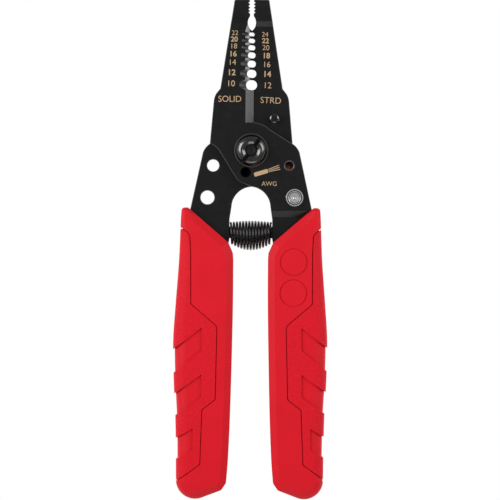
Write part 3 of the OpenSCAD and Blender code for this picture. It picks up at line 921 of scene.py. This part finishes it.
def lever_plate(lo, hi, tip):
    """The lever with its rivet at the origin and its tip along x."""
    spread = math.degrees(math.asin(1.1 / tip))
    outline = arc((0, 0), 4.6, 92, 264, 48) + arc(PADDLE, 5.0, -94, -19, 24)
    outline += [(16.2, -2.6), (19, -1.1)] + arc((0, 0), tip, -spread, spread, 9)
    outline += [(16, 1.7)] + arc(PADDLE, 5.0, 60, 86, 10)
    levels = [(0.16, 0), (0.05, 0.05), (0, 0.16)]
    levels = [(d, lo + z) for d, z in levels] + [(d, hi - z) for d, z in levels[::-1]]
    rings = [[(x, y, z) for x, y in inset(outline, d)] for d, z in levels]
    plate = skin("lock_lever_plate", rings, "bronze")
    bore = [(0, lo - 1), (1.64, lo - 1), (1.64, hi + 1), (0, hi + 1)]
    return carve(plate, lathe("bore", bore, "bronze", n=64))


def thumb_pad(lo, hi):
    """The ribbed pad under the lever's paddle."""
    w, h = 8.4 / 2, 7 / 2
    px, py = PADDLE
    loop = [(px - w, py - h), (px + w, py - h), (px + w, py + h), (px - w, py + h)]
    rings = []
    for d, z in ((0.5, lo), (0.2, lo + 0.08), (0.05, lo + 0.25), (0, lo + 0.5), (0, hi)):
        rings.append([(x, y, z) for x, y in rounded(inset(loop, d), [1.2 - d] * 4, 8)])
    pad = skin("lock_thumb_pad_ribbed", rings, "plastic")
    groove = [(-0.45, lo - 0.5), (-0.28, lo + 0.5), (0.28, lo + 0.5), (0.45, lo - 0.5)]
    faces = [[0, 1, 2, 3], [7, 6, 5, 4], [0, 4, 5, 1], [1, 5, 6, 2], [2, 6, 7, 3], [3, 7, 4, 0]]
    for i in range(-2, 3):
        verts = [(px + 1.6 * i + x, y, z) for y in (py - 6, py + 6) for x, z in groove]
        cut = new_object("groove", verts, faces, "plastic")
        clean(cut)
        carve(pad, cut)
    return pad


def build_lever():
    lo, hi = (v.z for v in mm_box("lock_lever"))
    stop_lo, stop_hi = mm_box("stop_pin")
    to_stop = (STOP_PIN[0] - RIVET.x, STOP_PIN[1] - RIVET.y)
    tip = math.hypot(*to_stop) - (stop_hi - stop_lo).x / 2 - 0.06
    # locked, the lever points at the stop pin
    rest = math.atan2(to_stop[1], to_stop[0]) + LEVER_TURN
    turn = Matrix.Translation((RIVET.x, RIVET.y, 0)) @ Matrix.Rotation(rest, 4, "Z")
    plate = lever_plate(lo, hi, tip)
    pad = thumb_pad(mm_box("lock_thumb_pad")[0].z, lo - 0.02)
    plate.data.transform(turn)
    put(plate, "lock", "bronze_steel", "lock_lever")
    pad.data.transform(turn)
    put(pad, "lock", "black_plastic", "lock_thumb_pad")


# ---------------------------------------------------------------- printing

FRONT_FACE, REAR_FACE = PLATE_HI, -PLATE_LO
PRINT_T, PRINT_LIFT = 0.02, 0.004
# gauge, height, whether it is bold
SOLID = [
    ("22", 42.45, 0), ("20", 40.15, 1), ("18", 37.65, 0), ("16", 34.85, 1), ("14", 31.8, 0),
    ("12", 28.1, 1), ("10", 24.1, 0),
]
STRAND = [
    ("24", 42.1, 0), ("22", 39.8, 1), ("20", 37.3, 0), ("18", 34.4, 1), ("16", 31.2, 0),
    ("14", 27.7, 1), ("12", 23.6, 0),
]


def stamp(name, body, at, size, words, bold=0.0, lean=0.0, squeeze=1.0, face=FRONT_FACE):
    """Printed characters as a thin mesh, centred on a point of a half's front face."""
    text = bpy.data.curves.new(name, "FONT")
    text.body, text.size = words, size
    text.align_x = text.align_y = "CENTER"
    text.offset, text.extrude, text.resolution_u = bold, PRINT_T / 2, 6
    holder = link_new(name + "_text", text)
    graph = bpy.context.evaluated_depsgraph_get()
    mesh = bpy.data.meshes.new_from_object(holder.evaluated_get(graph))
    bpy.data.objects.remove(holder)
    bpy.data.curves.remove(text)
    mesh.name = name
    mesh.materials.clear()
    mesh.materials.append(MAT["print"])
    mesh.transform(
        Matrix.Translation((*at, face + PRINT_T / 2 + PRINT_LIFT))
        @ Matrix.Rotation(math.radians(lean), 4, "Z")
        @ Matrix.Diagonal((squeeze, 1, 1, 1))
    )
    obj = link_new(name, mesh)
    clean(obj)
    mesh.transform(TO_ROW)
    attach(obj, body)


def build_printing():
    rows = (
        ("solid", "front_half", SOLID, (-6.1, -7.5), 0, FRONT_FACE),
        ("strand", "rear_half", STRAND, (4.8, 5.75), -1.5, REAR_FACE),
    )
    for name, body, row, (top, low), lean, face in rows:
        for k, (word, y, bold) in enumerate(row):
            t = k / 6
            at, size = (lerp(top, low, t), y), lerp(2.45, 3.1, t)
            weight = 0.055 if bold else -0.006
            stamp(f"{name}_{word}", body, at, size, word, weight, lean, face=face)
    stamp("word_solid", "front_half", (-7.85, 18.5), 3.15, "SOLID", -0.01, squeeze=0.98)
    stamp("word_strd", "rear_half", (7.0, 18.15), 3.2, "STRD", -0.01, -2.5, face=REAR_FACE)
    stamp("word_awg", "front_half", (6.6, -12.1), 2.3, "AWG", -0.01)
    build_pictogram()


def build_pictogram():
    # a stripped wire: insulation, then bare strands
    shapes = [rounded([(-5.0, -0.75), (0.2, -0.75), (0.2, 0.75), (-5.0, 0.75)], [0.35] * 4, 5)]
    w = 0.13
    for a, b in ((-0.45, -0.75), (0, 0), (0.45, 0.75)):
        shapes.append([(0.45, a - w), (4.6, b - w), (4.6, b + w), (0.45, a + w)])
    verts, faces = [], []
    for loop in shapes:
        base, n = len(verts), len(loop)
        for z in (0, PRINT_T):
            verts += [(x, y, z) for x, y in loop]
        faces.append([base + i for i in range(n - 1, -1, -1)])
        faces.append([base + n + i for i in range(n)])
        for i in range(n):
            k = (i + 1) % n
            faces.append([base + i, base + k, base + n + k, base + n + i])
    wire = new_object("pictogram_stripped_wire", verts, faces, "print")
    wire.data.transform(
        TO_ROW
        @ Matrix.Translation((5.9, -7.4, FRONT_FACE + PRINT_LIFT))
        @ Matrix.Rotation(math.radians(17), 4, "Z")
    )
    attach(wire, "front_half")


# ---------------------------------------------------------------- stage, camera, lights


def build_stage():
    white = bpy.data.materials.new("pale_floor")
    white.use_nodes = True
    tree = white.node_tree
    tree.nodes.clear()
    out = tree.nodes.new("ShaderNodeOutputMaterial")
    glow = tree.nodes.new("ShaderNodeEmission")
    glow.inputs["Color"].default_value = (1, 1, 1, 1)
    glow.inputs["Strength"].default_value = 1.0
    # seen from below it is clear
    clear = tree.nodes.new("ShaderNodeBsdfTransparent")
    back = tree.nodes.new("ShaderNodeNewGeometry")
    mix = tree.nodes.new("ShaderNodeMixShader")
    tree.links.new(back.outputs["Backfacing"], mix.inputs["Fac"])
    tree.links.new(glow.outputs["Emission"], mix.inputs[1])
    tree.links.new(clear.outputs["BSDF"], mix.inputs[2])
    tree.links.new(mix.outputs["Shader"], out.inputs["Surface"])
    size, z = 12.0, cad_box[0].z - 0.0004
    mesh = bpy.data.meshes.new("floor")
    corners = [(-size, -size, z), (size, -size, z), (size, size, z), (-size, size, z)]
    mesh.from_pydata(corners, [], [[0, 1, 2, 3]])
    mesh.materials.append(white)
    floor = link_new("floor", mesh)

    world = bpy.data.worlds.new("studio")
    bpy.context.scene.world = world
    world.use_nodes = True
    background = world.node_tree.nodes["Background"]
    background.inputs["Color"].default_value = (0.97, 0.98, 1.0, 1)
    background.inputs["Strength"].default_value = 0.3


def softbox(name, azimuth, height, distance, width, tall, watts):
    """Area light aimed at the object; azimuth 0 is at the right, 90 at the nose, in degrees."""
    data = bpy.data.lights.new(name, "AREA")
    data.shape, data.size, data.size_y = "RECTANGLE", width, tall
    data.energy = watts
    light = link_new(name, data)
    a, h = math.radians(azimuth), math.radians(height)
    at = Vector((math.cos(a) * math.cos(h), math.sin(a) * math.cos(h), math.sin(h))) * distance
    light.location = at
    light.rotation_euler = (-at).to_track_quat("-Z", "Y").to_euler()


def build_camera():
    # straight above the front faces, leaning as the photo's tool does
    lean, distance, view_wide = math.radians(0.31), 1.2, 0.1812
    aim = Vector((PIVOT.x - 0.00025, PIVOT.y - 0.03606, cad_box[0].z + 0.0085))
    data = bpy.data.cameras.new("camera")
    data.sensor_width = 36
    data.lens = data.sensor_width * distance / view_wide
    data.clip_start, data.clip_end = 0.05, 10
    camera = link_new("camera", data)
    camera.location = (aim.x, aim.y, aim.z + distance)
    camera.rotation_euler = (0, 0, lean)
    bpy.context.scene.camera = camera


def dress_cad_nodes():
    """CAD nodes whose shape is right keep it and get a finished material."""
    for node, mat in (
        ("front_spring_stud", "dark"), ("rear_spring_stud", "dark"), ("wave_washer", "nickel"),
        ("lock_spacer", "nickel"), ("lock_washer", "nickel"),
    ):
        obj = frame["nodes"][node]
        obj.data.materials.clear()
        obj.data.materials.append(MAT[mat])


build_halves()
build_grips()
build_spring()
build_pivot()
build_pins()
build_lever()
build_printing()
dress_cad_nodes()
build_stage()
build_camera()
softbox("left_softbox", 160, 38, 0.8, 0.5, 0.6, 5.2)
softbox("right_softbox", 22, 36, 0.8, 0.4, 0.6, 3.4)
softbox("bottom_softbox", -90, 30, 0.9, 0.7, 0.3, 1.6)
bpy.context.scene.view_settings.view_transform = "Standard"
